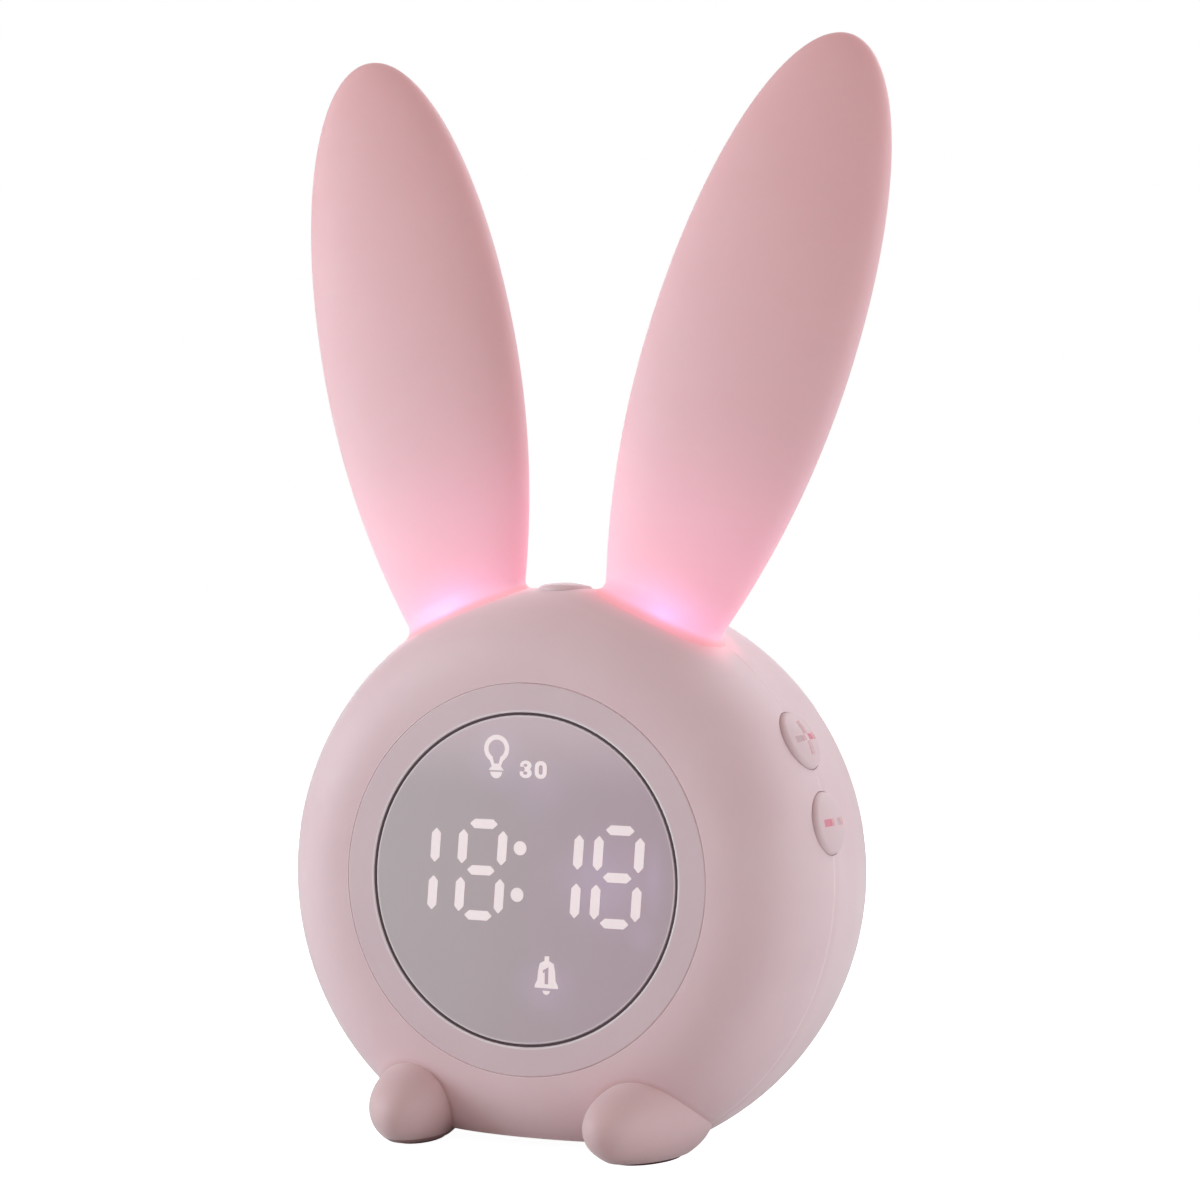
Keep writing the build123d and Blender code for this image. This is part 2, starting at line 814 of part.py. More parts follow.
def rear_key(x):
    drop = wall + flange_gap
    dome = round_key_dome(rear_key_proud)
    key = key_blank(rear_key_radius, rear_key_radius, dome, drop, rear_key_rim_radius)
    return rear_key_plane(x) * (key + key_flange_disc(rear_key_radius, rear_key_radius, drop))


def rear_plunger(x):
    return rear_key_plane(x) * plunger(wall + flange_gap + flange_thickness, rear_plunger_radius)


def rear_switches():
    # They lie on the port board, and local Y points down.
    board_top = pocket_z - port_board_z - small_board_thickness
    body = switch_body(rear_switch_drop, rear_plunger_radius, board_top - rear_switch_height, board_top)
    return group([rear_key_plane(x) * body for x in rear_key_places])


def top_board():
    plate = Box(top_board_length, side_board_width, small_board_thickness)
    return top_plane() * Pos(0, 0, small_board_thickness / 2 - shelf_drop) * plate


# ---- chassis and boards

def ear_shelf():
    # It carries an ear's light board and runs back to the chassis plate.
    drop = ear_board_drop + small_board_thickness
    half_width = ear_board_length / 2
    return ear_plane() * block((-half_width, -ear_board_width / 2, -drop - shelf_thickness),
                               (half_width, chassis_y + chassis_thickness + 1, -drop))


def chassis():
    plate = disc(chassis_radius, chassis_y, chassis_y + chassis_thickness)
    plate &= block((-far, 0, chassis_bottom), (far, far, head_z + chassis_radius - 2))
    plate -= block((-window_width / 2, 0, window_low_z), (window_width / 2, far, window_high_z))
    for length, plane in ((side_board_length, key_plane(key_angle)), (top_board_length, top_plane())):
        room = extrude(Rectangle(length + 1, side_board_width + 2), shelf_drop)
        shelf = extrude(Rectangle(length, side_board_width), shelf_thickness)
        plate -= plane * Pos(0, 0, -shelf_drop) * room
        plate += plane * Pos(0, 0, -shelf_drop - shelf_thickness) * shelf
    plate += both_sides(ear_shelf())
    for x in (-main_post_x, main_post_x):
        for z in (main_board_z - main_post_z, main_board_z + main_post_z):
            plate += disc(post_radius, chassis_y + chassis_thickness / 2, main_board_y, x, z)
            plate -= disc(pilot_radius, main_board_y - pilot_depth, main_board_y + 1, x, z)
    for x, z in case_screw_places:
        plate -= disc(screw_radius + 0.3, chassis_y - 1, chassis_y + chassis_thickness + 1, x, z)
    return plate


def main_board():
    low = (-main_board_width / 2, main_board_y, main_board_z - main_board_height / 2)
    high = (main_board_width / 2, main_board_y + board_thickness, main_board_z + main_board_height / 2)
    board = block(low, high)
    for x in (-main_post_x, main_post_x):
        for z in (main_board_z - main_post_z, main_board_z + main_post_z):
            board -= disc(screw_hole_radius, low[1] - 1, high[1] + 1, x, z)
    return board


def on_main_board(x, z, width, height, thickness):
    back = main_board_y + board_thickness
    return block((x - width / 2, back, z - height / 2), (x + width / 2, back + thickness, z + height / 2))


def main_board_chips():
    return group([
        on_main_board(-4, 54, 10, 10, 1.2),
        on_main_board(-17, 58, 6, 5, 1.5),
        on_main_board(13, 56, 7, 7, 3.0),
        on_main_board(-15, 46, 8, 3, 2.0),
        on_main_board(7, 44, 5, 4, 1.5),
    ])


def lead_sockets():
    places = (battery_socket, port_socket, speaker_socket)
    return group([on_main_board(x, z, socket_width, socket_height, socket_depth) for x, z in places])


# ---- battery, loudspeaker and ports

def battery_cell():
    cell = Pos(0, battery_y, battery_z) * Rot(0, 90, 0) * Cylinder(battery_radius, battery_length)
    return fillet(cell.edges().filter_by(GeomType.CIRCLE), 0.8)


def battery_strap():
    inner = battery_radius + 0.15
    lying = Pos(0, battery_y, battery_z) * Rot(0, 90, 0)
    half_depth = strap_boss_offset + 3
    tabs = block((-strap_width / 2, battery_y - half_depth, battery_z),
                 (strap_width / 2, battery_y + half_depth, battery_z + strap_thickness))
    strap = lying * Cylinder(inner + strap_thickness, strap_width) + tabs
    strap &= block((-far, -far, battery_z), (far, far, far))
    strap -= lying * Cylinder(inner, 2 * strap_width)
    for y in (battery_y - strap_boss_offset, battery_y + strap_boss_offset):
        strap -= Pos(0, y, battery_z - 1) * extrude(Circle(screw_hole_radius), strap_thickness + 2)
    return strap


def speaker():
    back = speaker_front_y - speaker_depth
    basket = disc(speaker_radius, speaker_front_y - 2, speaker_front_y, 0, speaker_z)
    basket -= disc(speaker_radius - speaker_rim, cone_y, speaker_front_y + 1, 0, speaker_z)
    cup = disc(speaker_radius - 2.5, back + 3.5, speaker_front_y - 1.5, 0, speaker_z)
    magnet = disc(speaker_radius - 4.5, back, back + 4, 0, speaker_z)
    return basket + cup + magnet


def speaker_cone():
    outer = speaker_radius - speaker_rim - 0.1
    cone = tube(outer, dust_cap_radius - 0.2, cone_y, cone_y + 0.5, 0, speaker_z)
    dust_cap = disc(dust_cap_radius, cone_y, cone_y + 1.0, 0, speaker_z)
    return cone + fillet(dust_cap.edges().filter_by(GeomType.CIRCLE).sort_by(Axis.Y)[-1:], 0.7)


def speaker_gasket():
    outer = speaker_radius - 0.1
    inner = speaker_radius - speaker_rim
    return tube(outer, inner, speaker_front_y, speaker_front_y + gasket_thickness, 0, speaker_z)


def speaker_clamp():
    back = speaker_front_y - speaker_depth
    half_length = clamp_x + 3
    bar = block((-half_length, back - clamp_thickness, speaker_z - 3), (half_length, back, speaker_z + 3))
    for x in (-clamp_x, clamp_x):
        bar -= disc(screw_hole_radius, back - clamp_thickness - 1, back + 1, x, speaker_z)
    return bar


def port_board():
    plate = block((-port_board_width / 2, port_board_y - port_board_depth, port_board_z),
                  (port_board_width / 2, port_board_y, port_board_z + small_board_thickness))
    for x in (-port_screw_x, port_screw_x):
        hole = extrude(Circle(screw_hole_radius), small_board_thickness + 2)
        plate -= Pos(x, port_screw_y, port_board_z - 1) * hole
    for x in rear_key_places:
        plate -= rear_key_room(x)
    return plate


def usb_port():
    outer = extrude(RectangleRounded(usb_width, usb_height, 0.7), usb_depth)
    hollow = extrude(RectangleRounded(usb_width - 0.6, usb_height - 0.6, 0.5), usb_depth - 1)
    tongue = extrude(Rectangle(usb_width - 2.4, 0.7), usb_depth - 1.1)
    shell = outer - Pos(0, 0, -0.01) * hollow + Pos(0, 0.3, 0.9) * tongue
    return Pos(usb_x, pocket_y - 0.3, usb_z) * Rot(90, 0, 0) * shell


def power_switch():
    low_z = port_board_z + small_board_thickness
    body = block((slider_x - switch_half_length, port_board_y - 4.2, low_z),
                 (slider_x + switch_half_length, port_board_y, low_z + switch_height))
    half_channel = (slider_width + slider_travel) / 2 + slider_gap
    channel = block((slider_x - half_channel, port_board_y - 2.6, pocket_z - 0.9),
                    (slider_x + half_channel, pocket_y, pocket_z + 0.9))
    return body - channel


def power_slider():
    x = slider_x - slider_travel / 2
    half = slider_width / 2
    grip = block((x - half, pocket_y - wall - 0.2, pocket_z - slider_height / 2),
                 (x + half, pocket_y + slider_proud, pocket_z + slider_height / 2))
    grip = fillet(grip.edges().filter_by(Axis.Z).sort_by(Axis.Y)[-2:], 0.3)
    for i in (-1, 0, 1):
        grip -= Pos(x + i, pocket_y + slider_proud, pocket_z) * Box(0.3, 0.6, 2 * slider_height)
    stem = block((x - half + 0.4, port_board_y - 2.4, pocket_z - 0.8),
                 (x + half - 0.4, pocket_y - wall, pocket_z + 0.8))
    return grip + stem


# ---- screws and leads

def small_screw():
    # Pan head on top of the local plane z = 0, shank below it.
    shank = Pos(0, 0, -small_screw_length) * extrude(Circle(small_screw_radius), small_screw_length)
    top = extrude(Circle(small_head_radius), small_head_height)
    top = fillet(top.edges().filter_by(GeomType.CIRCLE).sort_by(Axis.Z)[-1:], 0.4)
    arm = 2 * small_screw_radius
    cross = Pos(0, 0, small_head_height) * (Box(arm, 0.4, 1.0) + Box(0.4, arm, 1.0))
    return shank + top - cross


def inner_screws():
    facing_back = Rot(-90, 0, 0)
    facing_front = Rot(90, 0, 0)
    clamp_y = speaker_front_y - speaker_depth - clamp_thickness
    places = [Pos(x, display_board_y + board_thickness, z) * facing_back for x, z in display_post_places()]
    for side in (-1, 1):
        for level in (-1, 1):
            z = main_board_z + level * main_post_z
            places.append(Pos(side * main_post_x, main_board_y + board_thickness, z) * facing_back)
        places.append(Pos(side * clamp_x, clamp_y, speaker_z) * facing_front)
        places.append(Pos(0, battery_y + side * strap_boss_offset, battery_z + strap_thickness))
        places.append(Pos(side * port_screw_x, port_screw_y, port_board_z + small_board_thickness))
    return group([place * small_screw() for place in places])


def case_screws():
    screws = []
    for x, z in case_screw_places:
        shank = disc(screw_radius, column_end - screw_length, column_end + 0.5, x, z)
        top = disc(screw_head_radius, column_end, column_end + screw_head_height, x, z)
        cross = Box(2 * screw_radius, 2.0, 0.7) + Box(0.7, 2.0, 2 * screw_radius)
        screws.append(shank + top - Pos(x, column_end + screw_head_height, z) * cross)
    return group(screws)


def lead(points):
    # Round wire along straight runs joined by arcs as large as the runs allow.
    corners = [Vector(*p) for p in points]
    radii = []
    for a, b, c in zip(corners, corners[1:], corners[2:]):
        turn = math.radians((b - a).get_angle(c - b))
        shorter = min((b - a).length, (c - b).length)
        radii.append(0.45 * shorter / math.tan(turn / 2))
    path = FilletPolyline(*corners, radius=radii)
    section = Plane(origin=path @ 0, z_dir=path % 0) * Circle(lead_radius)
    return sweep(section, path=path)


def battery_leads():
    end = battery_length / 2 + 0.1
    positive = [(end, 17, 21), (36.5, 17, 21.6), (36, 16.5, 27.5), (30.5, 15.5, 32.5), (21.4, 13.5, 37.4)]
    negative = [(-end, 17, 21), (-36.5, 17.8, 21.6), (-36.2, 19.5, 27.5), (-30.5, 21.3, 32.2),
                (-18, 22.3, 33), (-6, 21.8, 32.8), (4.5, 19.6, 33.4), (10.2, 16, 35.6), (13.5, 13.5, 38.4)]
    return group([lead(positive), lead(negative)])


def speaker_leads():
    start_y = main_board_y + board_thickness + socket_depth + 0.4
    routes = []
    for x, spread in ((3.2, 1.0), (5.2, 2.4)):
        routes.append([(x, start_y, 68.5), (x, 19, 69.5 + spread), (x + 0.4, 26, 69), (x + 0.8, 32.5, 66.5),
                       (x + 1.0, 37.8, 63.4)])
    return group([lead(route) for route in routes])


def port_leads():
    start_y = main_board_y + board_thickness + socket_depth + 0.2
    routes = []
    for x in (-2.4, -0.8, 0.8, 2.4):
        routes.append([(x, start_y, 38.8), (x, 19.5, 38), (x * 1.1, 25, 34.8), (x * 1.2, 29.5, 31.6),
                       (x * 1.3, 34.5, 29.1)])
    return group([lead(route) for route in routes])


def ear_light_leads():
    route = [(11.84, -6.6, 90.0), (12.0, -7.1, 86.5), (12.3, -6.5, 82.5), (12.6, -5.8, 78.8),
             (12.6, -5.75, 75.2)]
    return both_sides_apart(lead(route))


def display_ribbon():
    # Flat cable from the display board to the front of the main board, through the chassis window.
    start_y = display_board_y + board_thickness + 0.05
    end_y = main_board_y - 0.05
    path = FilletPolyline((start_y, 44), (start_y + 5, 44.4), (start_y + 11, 49.6), (end_y, 50), radius=4.0)
    strip = trace(path, 0.4)
    return extrude(Plane.YZ * strip, 7, both=True)


def pieces():
    upper, lower = key_angles
    clock_x, alarm_x = rear_key_places
    right_ear = ear()
    return {
        "front_shell": front_shell(),
        "rear_shell": rear_shell(),
        "face_ring": face_ring(),
        "lens_gasket": lens_gasket(),
        "display_lens": display_lens(),
        "time_figures": inlay(time_figures()),
        "timer_icon": inlay(timer_figures()),
        "alarm_icon": inlay(alarm_figures()),
        "light_box": light_box(),
        "display_board": display_board(),
        "display_leds": display_leds(),
        "ear_right": right_ear,
        "ear_left": mirrored(right_ear),
        "ear_light_board_right": ear_light_board(),
        "ear_light_board_left": mirrored(ear_light_board()),
        "ear_leds_right": ear_leds(),
        "ear_leds_left": mirrored(ear_leds()),
        "ear_light_leads": ear_light_leads(),
        "top_button": top_key(),
        "top_plunger": top_plane() * plunger(plunger_drop, plunger_radius),
        "top_switch": top_plane() * seam_switch(),
        "top_switch_board": top_board(),
        "plus_button": side_key(upper, True),
        "plus_plunger": side_plane_part(upper, plunger(plunger_drop, plunger_radius)),
        "minus_button": side_key(lower, False),
        "minus_plunger": side_plane_part(lower, plunger(plunger_drop, plunger_radius)),
        "side_switches": side_switches(),
        "side_switch_board": side_board(),
        "clock_button": rear_key(clock_x),
        "clock_plunger": rear_plunger(clock_x),
        "alarm_button": rear_key(alarm_x),
        "alarm_plunger": rear_plunger(alarm_x),
        "rear_switches": rear_switches(),
        "chassis": chassis(),
        "main_board": main_board(),
        "main_board_chips": main_board_chips(),
        "lead_sockets": lead_sockets(),
        "display_ribbon": display_ribbon(),
        "battery_cell": battery_cell(),
        "battery_strap": battery_strap(),
        "battery_leads": battery_leads(),
        "speaker": speaker(),
        "speaker_cone": speaker_cone(),
        "speaker_gasket": speaker_gasket(),
        "speaker_clamp": speaker_clamp(),
        "speaker_leads": speaker_leads(),
        "port_board": port_board(),
        "usb_port": usb_port(),
        "power_switch": power_switch(),
        "power_slider": power_slider(),
        "port_leads": port_leads(),
        "inner_screws": inner_screws(),
        "case_screws": case_screws(),
        "front_foot_pads": both_sides(front_foot_pad()),
        "rear_pad": rear_pad(),
    }


def main():
    os.makedirs("parts", exist_ok=True)
    for name, piece in pieces().items():
        export_step(piece.moved(Location((0, -middle_y, 0))), "parts/" + name + ".step")


if __name__ == "__main__":
    main()
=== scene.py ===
import math

import bpy
from mathutils import Matrix, Vector


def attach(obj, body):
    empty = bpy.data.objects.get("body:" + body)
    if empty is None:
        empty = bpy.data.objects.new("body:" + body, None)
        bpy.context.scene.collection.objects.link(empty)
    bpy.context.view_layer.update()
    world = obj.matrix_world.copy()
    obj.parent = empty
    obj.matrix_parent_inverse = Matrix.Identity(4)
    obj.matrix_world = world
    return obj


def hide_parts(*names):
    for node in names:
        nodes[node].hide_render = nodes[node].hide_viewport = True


mm = 0.001
seamY = -13.0487    # place of the plane where the two shells meet, in mm
headZ = 48.0        # height of the middle of the head and of the face, in mm

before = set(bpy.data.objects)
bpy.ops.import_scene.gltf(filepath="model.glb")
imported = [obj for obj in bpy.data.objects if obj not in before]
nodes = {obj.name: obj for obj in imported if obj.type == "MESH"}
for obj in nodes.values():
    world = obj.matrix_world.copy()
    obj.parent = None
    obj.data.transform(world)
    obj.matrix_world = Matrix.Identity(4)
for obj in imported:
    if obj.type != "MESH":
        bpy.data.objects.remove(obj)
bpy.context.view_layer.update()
print("frame loaded:", len(nodes), "nodes")


# camera

cameraView = {
    "place": (216.040, -496.039, 91.705),   # in mm
    "turn": (90.645, -1.1925, 23.4092),     # in degrees
    "lens": 87.55,
    "sensor": 36.0,
    "nearest": 0.01,                        # in m
    "furthest": 30.0,
}


def makeCamera(view):
    bpy.ops.object.camera_add(location=[v * mm for v in view["place"]],
                              rotation=[math.radians(a) for a in view["turn"]])
    camera = bpy.context.object
    camera.name = "studioCamera"
    camera.data.lens = view["lens"]
    camera.data.sensor_width = view["sensor"]
    camera.data.clip_start = view["nearest"]
    camera.data.clip_end = view["furthest"]
    bpy.context.scene.camera = camera


makeCamera(cameraView)
print("camera placed")


# floor, lights and backdrop

studio = {
    "white": (1, 1, 1, 1),
    "floorSize": 6.0,           # in m
    "floorColour": (0.72, 0.72, 0.72, 1),
    "floorRough": 0.9,
    "floorShine": 0.0,
    "floorGlow": 0.96,          # light of its own, which only the camera sees
    "fill": 0.43,               # even light from all round
    "fillTint": (1.0, 0.80, 0.74, 1),
    "backdrop": 1.0,            # brightness past the edge of the floor, for the camera only
    "lampAim": (0, 0, 90),
    "lampTint": (0.76, 0.93, 1.0),
    "lampSize": 480,
    "boxes": [
        # name, place in mm, power in W
        ("leftBox", (-678, -391, 256), 4.0),
        ("rightBox", (783, 0, 256), 2.3),
        ("leftRimBox", (-391, 678, 256), 2.6),
        ("rightRimBox", (283, 490, 656), 2.4),
    ],
}


def makeFloor(settings):
    bpy.ops.mesh.primitive_plane_add(size=settings["floorSize"])
    floor = bpy.context.object
    floor.name = "floor"
    paper = bpy.data.materials.new("palePaper")
    paper.use_nodes = True
    tree = paper.node_tree
    shader = tree.nodes["Principled BSDF"]
    shader.inputs["Base Color"].default_value = settings["floorColour"]
    shader.inputs["Roughness"].default_value = settings["floorRough"]
    shader.inputs["Specular IOR Level"].default_value = settings["floorShine"]
    shader.inputs["Emission Color"].default_value = settings["white"]
    path = tree.nodes.new("ShaderNodeLightPath")
    glow = tree.nodes.new("ShaderNodeMath")
    glow.operation = "MULTIPLY"
    glow.inputs[1].default_value = settings["floorGlow"]
    tree.links.new(path.outputs["Is Camera Ray"], glow.inputs[0])
    tree.links.new(glow.outputs[0], shader.inputs["Emission Strength"])
    floor.data.materials.append(paper)


def makeBackdrop(settings):
    world = bpy.data.worlds.new("studioAir")
    world.use_nodes = True
    tree = world.node_tree
    fill = tree.nodes["Background"]
    fill.inputs["Color"].default_value = settings["fillTint"]
    fill.inputs["Strength"].default_value = settings["fill"]
    seen = tree.nodes.new("ShaderNodeBackground")
    seen.inputs["Color"].default_value = settings["white"]
    seen.inputs["Strength"].default_value = settings["backdrop"]
    path = tree.nodes.new("ShaderNodeLightPath")
    mix = tree.nodes.new("ShaderNodeMixShader")
    tree.links.new(path.outputs["Is Camera Ray"], mix.inputs["Fac"])
    tree.links.new(fill.outputs["Background"], mix.inputs[1])
    tree.links.new(seen.outputs["Background"], mix.inputs[2])
    tree.links.new(mix.outputs["Shader"], tree.nodes["World Output"].inputs["Surface"])
    bpy.context.scene.world = world


def makeLights(settings):
    aim = Vector(settings["lampAim"]) * mm
    for name, place, power in settings["boxes"]:
        spot = Vector(place) * mm
        bpy.ops.object.light_add(type="AREA", location=spot)
        light = bpy.context.object
        light.name = name
        light.rotation_euler = (aim - spot).to_track_quat("-Z", "Y").to_euler()
        light.data.size = settings["lampSize"] * mm
        light.data.color = settings["lampTint"]
        light.data.energy = power


makeFloor(studio)
makeBackdrop(studio)
makeLights(studio)
bpy.context.scene.view_settings.view_transform = "Standard"
print("studio lit")


# colours and shader nodes: what takes a tree adds to it, and returns the sockets with the result

def colour(red, green, blue):
    # screen colour from 0 to 255, as the linear colour that a shader takes
    shares = [v / 255 for v in (red, green, blue)]
    return tuple(((v + 0.055) / 1.055) ** 2.4 if v > 0.04045 else v / 12.92 for v in shares) + (1,)


def metres(values):
    return [value * mm for value in values]


def addNode(tree, kind, inputs, **settings):
    # the one that returns the node itself
    node = tree.nodes.new(kind)
    for key, value in settings.items():
        setattr(node, key, value)
    for key, value in inputs.items():
        if isinstance(value, bpy.types.NodeSocket):
            tree.links.new(value, node.inputs[key])
        else:
            node.inputs[key].default_value = value
    return node


def objectPlace(tree):
    return tree.nodes.new("ShaderNodeTexCoord").outputs["Object"]


def spread(tree, value, fromLow, fromHigh, toLow, toHigh, smooth=False):
    made = addNode(tree, "ShaderNodeMapRange", {"Value": value, "From Min": fromLow, "From Max": fromHigh,
                                                "To Min": toLow, "To Max": toHigh})
    if smooth:
        made.interpolation_type = "SMOOTHSTEP"
    return made.outputs["Result"]


def noise(tree, where, size, detail=3.0):
    # cloudy pattern from 0 to 1 with features of a size in mm
    made = addNode(tree, "ShaderNodeTexNoise", {"Vector": where, "Scale": 1 / (size * mm), "Detail": detail})
    return made.outputs["Fac"]


def clouds(tree, where, size, low, high, band=(0.3, 0.7)):
    # the band of the same pattern, stretched from low to high
    return spread(tree, noise(tree, where, size), *band, low, high)


def sums(tree, operation, first, second=0.0):
    return addNode(tree, "ShaderNodeMath", {0: first, 1: second}, operation=operation).outputs[0]


def blendNumbers(tree, share, first, second):
    return addNode(tree, "ShaderNodeMix", {0: share, 2: first, 3: second}).outputs[0]


def blendColours(tree, share, first, second):
    return addNode(tree, "ShaderNodeMix", {0: share, 6: first, 7: second}, data_type="RGBA").outputs[2]


def join(tree, x, y, z=0.0):
    return addNode(tree, "ShaderNodeCombineXYZ", {"X": x, "Y": y, "Z": z}).outputs[0]


def split(tree, vector):
    apart = addNode(tree, "ShaderNodeSeparateXYZ", {"Vector": vector})
    return [apart.outputs[axis] for axis in "XYZ"]


def lengthOf(tree, x, y, z=0.0):
    made = addNode(tree, "ShaderNodeVectorMath", {0: join(tree, x, y, z)}, operation="LENGTH")
    return made.outputs["Value"]


def dotWith(tree, vector, direction):
    made = addNode(tree, "ShaderNodeVectorMath", {0: vector, 1: direction}, operation="DOT_PRODUCT")
    return made.outputs["Value"]


def armFrom(tree, where, middle):
    # from a middle, given in mm, to a point
    made = addNode(tree, "ShaderNodeVectorMath", {0: where, 1: Vector(middle) * mm}, operation="SUBTRACT")
    return made.outputs["Vector"]


def inHalves(tree, value, middle, half):
    # how far a place is from a middle, as a share of half a size; both are given in mm
    return sums(tree, "DIVIDE", sums(tree, "SUBTRACT", value, middle * mm), half * mm)


# finishes

plainLook = {
    "cloudSize": 14,                # sizes and depths in mm
    "cloudBand": (0.35, 0.65),      # part of the pattern that the two tints share out
    "glossSize": 3,
    "grainSize": 0.16,
    "grainDetail": 2.0,
    "grainStrength": 0.12,
    "grainDepth": 0.03,
    "metal": 0.0,
    "shine": 0.4,
    "coat": 0.0,
    "sheen": 0.0,
    "sheenRough": 0.35,
    "depth": 0.0,                   # share of the light that goes under the surface
    "depthReach": (1.0, 0.5, 0.4),
    "depthScale": 2.0,
    "lit": (1, 1, 1, 1),
    "litPower": 0.0,
}

lookInputs = {
    "metal": "Metallic",
    "shine": "Specular IOR Level",
    "coat": "Coat Weight",
    "sheen": "Sheen Weight",
    "sheenRough": "Sheen Roughness",
    "depth": "Subsurface Weight",
    "depthReach": "Subsurface Radius",
    "lit": "Emission Color",
    "litPower": "Emission Strength",
}


def startFinish(name, look):
    # material with the uneven gloss, the fine surface grain and the values of its look, without its colour
    finish = bpy.data.materials.new(name)
    finish.use_nodes = True
    tree = finish.node_tree
    shader = tree.nodes["Principled BSDF"]
    where = objectPlace(tree)
    tree.links.new(clouds(tree, where, look["glossSize"], *look["rough"]), shader.inputs["Roughness"])
    if look["grainStrength"]:
        grain = noise(tree, where, look["grainSize"], look["grainDetail"])
        bump = addNode(tree, "ShaderNodeBump", {"Height": grain, "Strength": look["grainStrength"],
                                                "Distance": look["grainDepth"] * mm})
        tree.links.new(bump.outputs["Normal"], shader.inputs["Normal"])
    for key, socket in lookInputs.items():
        shader.inputs[socket].default_value = look[key]
    shader.inputs["Subsurface Scale"].default_value = look["depthScale"] * mm
    return finish, tree, shader, where


def mouldedFinish(name, look):
    # moulded plastic, rubber, board or metal, with a cloudy tint
    finish, tree, shader, where = startFinish(name, look)
    cloud = clouds(tree, where, look["cloudSize"], 0, 1, look["cloudBand"])
    shader.inputs["Base Color"].default_value = look["tint"]
    tree.links.new(blendColours(tree, cloud, look["tint"], look["tintTwo"]), shader.inputs["Base Color"])
    return finish


looks = {
    "shellPink": {"tint": colour(236, 208, 211), "tintTwo": colour(233, 203, 207), "cloudSize": 22,
                  "rough": (0.50, 0.58), "depth": 0.12, "shine": 0.3, "sheen": 0.45},
    "keyPink": {"tint": colour(232, 206, 209), "tintTwo": colour(229, 202, 205), "rough": (0.48, 0.56),
                "depth": 0.12, "shine": 0.3},
    # rose paint in the signs; its faint own light is a painted glow
    "signRose": {"tint": colour(224, 150, 166), "tintTwo": colour(218, 142, 158), "rough": (0.5, 0.6),
                 "lit": colour(226, 140, 156), "litPower": 0.05},
    "signGrey": {"tint": colour(216, 190, 194), "tintTwo": colour(208, 182, 188), "rough": (0.5, 0.6)},
    # walls of the sunk signs: a lighter tint with a little own light, painted light that lifts their shade
    "signWallsPaintedLight": {"tint": colour(240, 218, 220), "tintTwo": colour(236, 214, 216), "rough": (0.5, 0.6),
                 "lit": colour(240, 214, 218), "litPower": 0.2},
    "ringPink": {"tint": colour(228, 205, 209), "tintTwo": colour(224, 201, 206), "cloudSize": 18,
                 "rough": (0.46, 0.54), "depth": 0.08, "shine": 0.3},
    "sealBlack": {"tint": colour(78, 58, 62), "tintTwo": colour(88, 66, 76), "rough": (0.45, 0.6)},
    "figureWhite": {"tint": colour(244, 230, 232), "tintTwo": colour(240, 226, 228), "rough": (0.4, 0.5),
                    "lit": colour(255, 240, 238), "litPower": 0.23},
    "footRubber": {"tint": colour(86, 44, 48), "tintTwo": colour(76, 40, 44), "rough": (0.7, 0.85)},
    "whitePlastic": {"tint": colour(236, 236, 232), "tintTwo": colour(228, 228, 224), "rough": (0.4, 0.55)},
    "chassisGrey": {"tint": colour(206, 204, 202), "tintTwo": colour(198, 196, 194), "rough": (0.5, 0.65)},
    "boardGreen": {"tint": colour(28, 92, 58), "tintTwo": colour(22, 82, 52), "rough": (0.3, 0.42)},
    "chipBlack": {"tint": colour(30, 30, 32), "tintTwo": colour(38, 38, 40), "rough": (0.4, 0.55)},
    "ledYellow": {"tint": colour(238, 226, 170), "tintTwo": colour(244, 236, 196), "rough": (0.25, 0.4)},
    "switchBlack": {"tint": colour(40, 40, 42), "tintTwo": colour(48, 48, 50), "rough": (0.45, 0.6)},
    "screwSteel": {"tint": colour(180, 180, 184), "tintTwo": colour(164, 164, 168), "rough": (0.25, 0.4),
                   "metal": 1.0},
    "portSteel": {"tint": colour(196, 196, 200), "tintTwo": colour(184, 184, 188), "rough": (0.22, 0.34),
                  "metal": 1.0},
    "cellWrap": {"tint": colour(60, 104, 168), "tintTwo": colour(54, 96, 158), "rough": (0.3, 0.42),
                 "coat": 0.3},
    "conePaper": {"tint": colour(52, 50, 50), "tintTwo": colour(64, 62, 60), "rough": (0.75, 0.9)},
    "foamGrey": {"tint": colour(88, 88, 90), "tintTwo": colour(74, 74, 76), "rough": (0.85, 0.95),
                 "grainSize": 0.5, "grainStrength": 0.5},
    "leadRed": {"tint": colour(176, 44, 40), "tintTwo": colour(160, 38, 36), "rough": (0.4, 0.5)},
}

wears = {
    "shellPink": ["front_shell", "rear_shell"],
    "ringPink": ["face_ring"],
    "sealBlack": ["lens_gasket"],
    "figureWhite": ["time_figures", "timer_icon", "alarm_icon"],
    "keyPink": ["top_button", "plus_button", "minus_button", "clock_button", "alarm_button", "power_slider"],
    "footRubber": ["front_foot_pads", "rear_pad"],
    "whitePlastic": ["light_box", "lead_sockets", "battery_strap", "display_ribbon"],
    "chassisGrey": ["chassis", "speaker_clamp"],
    "boardGreen": ["display_board", "ear_light_board_right", "ear_light_board_left", "top_switch_board",
                   "side_switch_board", "main_board", "port_board"],
    "chipBlack": ["main_board_chips"],
    "ledYellow": ["display_leds", "ear_leds_right", "ear_leds_left"],
    "switchBlack": ["top_plunger", "plus_plunger", "minus_plunger", "clock_plunger", "alarm_plunger",
                    "top_switch", "side_switches", "rear_switches", "power_switch"],
    "screwSteel": ["inner_screws", "case_screws"],
    "portSteel": ["usb_port", "speaker"],
    "cellWrap": ["battery_cell"],
    "conePaper": ["speaker_cone"],
    "foamGrey": ["speaker_gasket"],
    "leadRed": ["battery_leads", "speaker_leads", "port_leads", "ear_light_leads"],
}


def wear(piece, finish):
    piece.data.materials.clear()
    piece.data.materials.append(finish)


